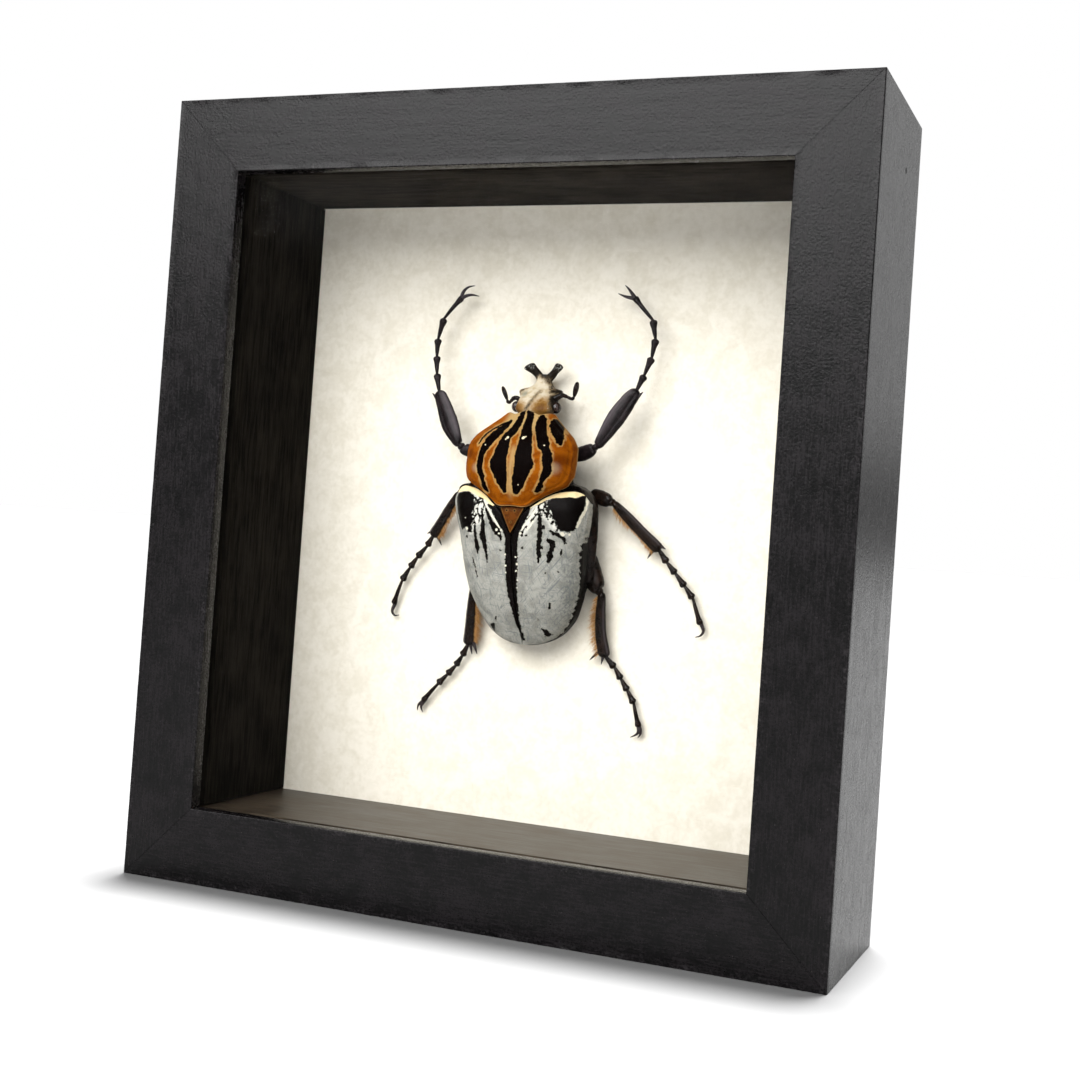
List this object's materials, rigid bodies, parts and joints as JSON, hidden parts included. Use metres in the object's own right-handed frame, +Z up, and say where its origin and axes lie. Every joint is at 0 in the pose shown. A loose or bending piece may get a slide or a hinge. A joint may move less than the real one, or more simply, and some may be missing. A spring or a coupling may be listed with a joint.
{
  "type": "framed goliath beetle",
  "caption": "Deep black box frame with glass over a cream paper back, holding a mounted goliath beetle with spread legs and a forked horn.",
  "frame": {"origin": "centre of the frame's base, midway between its front and back faces", "axes": "+X to the viewer's right as the frame is looked at from its glazed front, +Y from the front to the back, +Z up"},
  "size_m": [0.23, 0.066, 0.254],
  "materials": {
    "black_stain": "black stained wood with an open grain, satin",
    "lining_stain": "thin black stained wood lining, matt",
    "glass": "clear flat picture glass",
    "cream_paper": "cream parchment paper on board, softly mottled, matt",
    "hardboard": "brown pressed fibre board, matt",
    "zinc_plate": "zinc plated flat metal",
    "pronotum_shell": "hard orange-brown insect shell with black stripes and tan borders, satin",
    "head_shell": "cream insect shell with black and tan areas, satin",
    "wing_case_silver": "hard silvery grey insect shell with black markings and cream mottling, satin",
    "dark_chitin": "black-brown insect shell, glossy",
    "amber_hair": "fine orange-brown hairs"
  },
  "bodies": {
    "root": {"rail_bottom": "black_stain", "rail_left": "black_stain", "rail_top": "black_stain", "rail_right": "black_stain", "glass": "glass", "lining_bottom": "lining_stain", "lining_top": "lining_stain", "lining_left": "lining_stain", "lining_right": "lining_stain", "backing_sheet": "cream_paper", "back_panel": "hardboard", "tab_left_lower": "zinc_plate", "tab_left_upper": "zinc_plate", "tab_right_lower": "zinc_plate", "tab_right_upper": "zinc_plate", "tab_bottom_left": "zinc_plate", "tab_bottom_right": "zinc_plate", "tab_top_left": "zinc_plate", "tab_top_right": "zinc_plate", "pronotum": "pronotum_shell", "wing_case_left": "wing_case_silver", "wing_case_right": "wing_case_silver", "scutellum": "pronotum_shell", "body": "dark_chitin", "head": "head_shell", "antenna_left": "dark_chitin", "antenna_right": "dark_chitin", "leg_fore_left": "dark_chitin", "leg_fore_right": "dark_chitin", "leg_mid_left": "dark_chitin", "leg_mid_right": "dark_chitin", "leg_hind_left": "dark_chitin", "leg_hind_right": "dark_chitin", "fringe_mid_left": "amber_hair", "fringe_mid_right": "amber_hair", "fringe_hind_left": "amber_hair", "fringe_hind_right": "amber_hair"}
  },
  "joints": []
}
